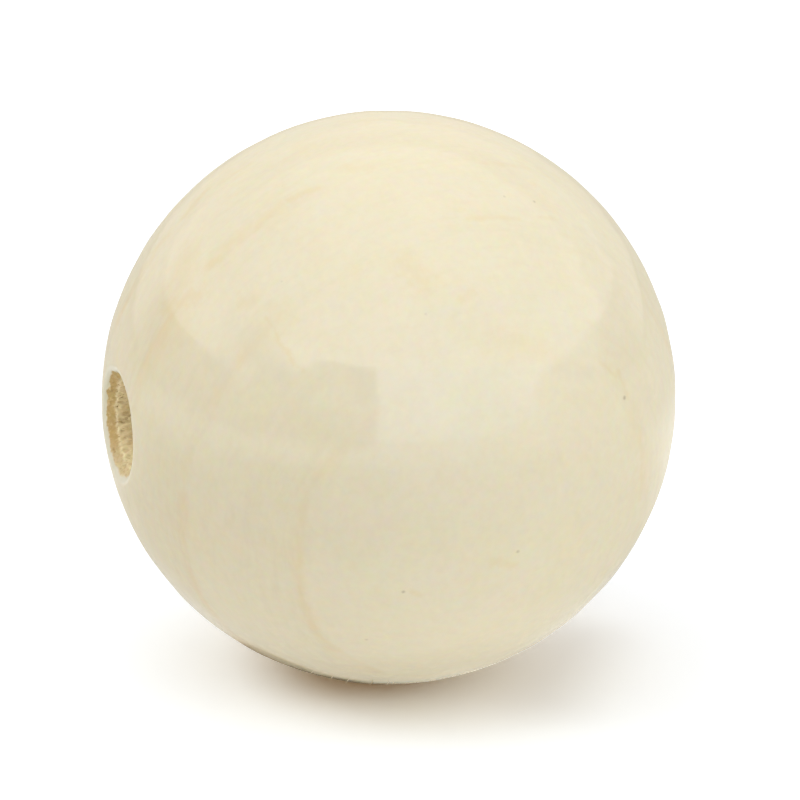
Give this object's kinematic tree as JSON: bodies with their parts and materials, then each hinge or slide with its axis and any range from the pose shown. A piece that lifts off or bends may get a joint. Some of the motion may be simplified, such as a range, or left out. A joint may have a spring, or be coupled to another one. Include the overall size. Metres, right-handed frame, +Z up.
{
  "type": "wooden ball",
  "caption": "Turned pale wooden ball with a hole drilled through its middle, each mouth flared and rounded over, for threading on a cord, rod or screw.",
  "frame": {"origin": "centre of the ball, halfway along the bore", "axes": "+X along the bore, which is the ball's axis of revolution; +Z up"},
  "size_m": [0.0392, 0.04, 0.04],
  "materials": {
    "wood": "satin lacquer over pale close-grained wood; bare torn wood in the bore"
  },
  "bodies": {
    "root": {"ball": "wood"}
  },
  "joints": []
}
